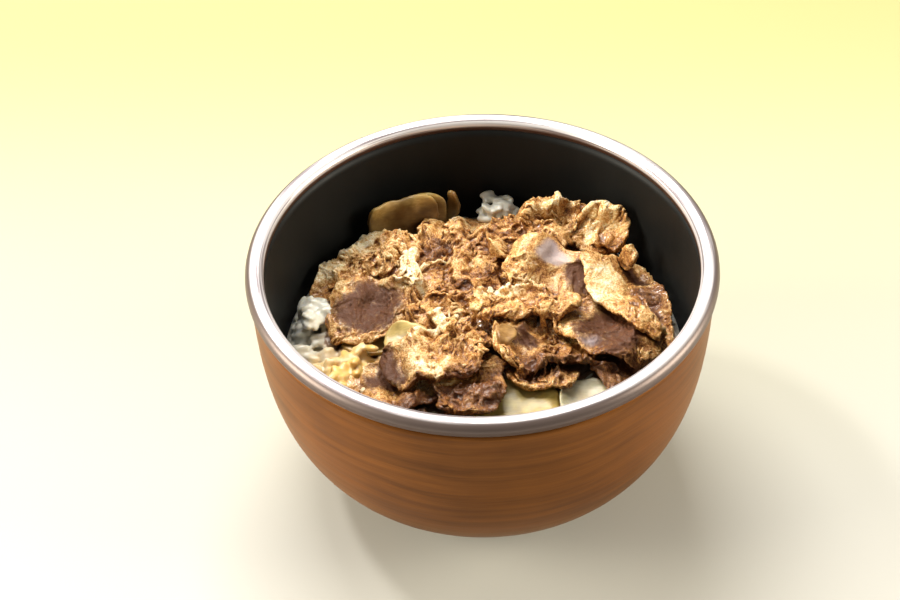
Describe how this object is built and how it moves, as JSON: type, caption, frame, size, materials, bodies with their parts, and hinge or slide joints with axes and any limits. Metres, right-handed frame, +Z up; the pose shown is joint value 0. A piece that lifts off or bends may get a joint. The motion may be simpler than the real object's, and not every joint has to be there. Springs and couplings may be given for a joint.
{
  "type": "bowl of gyudon",
  "caption": "Deep round lacquered bowl with a silver rim, filled with rice under thin simmered beef slices and onion.",
  "frame": {"origin": "middle of the underside of the bowl's foot ring", "axes": "+Z up along the bowl's axis, -Y towards the viewer of the picture"},
  "size_m": [0.15, 0.15, 0.086],
  "materials": {
    "lacquer": "brown lacquer outside with faint streaks, satin black inside",
    "silver": "satin silver band",
    "rice": "moist cooked rice grains",
    "beef": "simmered thin beef, glossy with sauce",
    "onion": "translucent simmered onion"
  },
  "bodies": {
    "root": {"beef_back_crumple": "beef", "beef_back_flap": "beef", "beef_back_fold": "beef", "beef_back_left": "beef", "beef_back_lump": "beef", "beef_back_middle": "beef", "beef_fat_band": "beef", "beef_front_edge": "beef", "beef_front_hanging": "beef", "beef_front_left": "beef", "beef_front_low": "beef", "beef_front_lumps": "beef", "beef_front_right": "beef", "beef_front_under": "beef", "beef_grey_lean": "beef", "beef_left_lean": "beef", "beef_left_tip": "beef", "beef_middle": "beef", "beef_middle_back": "beef", "beef_middle_ridge": "beef", "beef_right_edge": "beef", "beef_right_lean": "beef", "beef_right_tab": "beef", "beef_strip_front": "beef", "beef_strip_left": "beef", "bowl_body": "lacquer", "onion_back_petal": "onion", "onion_back_slice": "onion", "onion_back_tip": "onion", "onion_curl": "onion", "onion_front_far": "onion", "onion_front_white": "onion", "onion_front_yellow": "onion", "onion_left_green": "onion", "onion_left_yellow": "onion", "rice": "rice", "rim_band": "silver"}
  },
  "joints": []
}
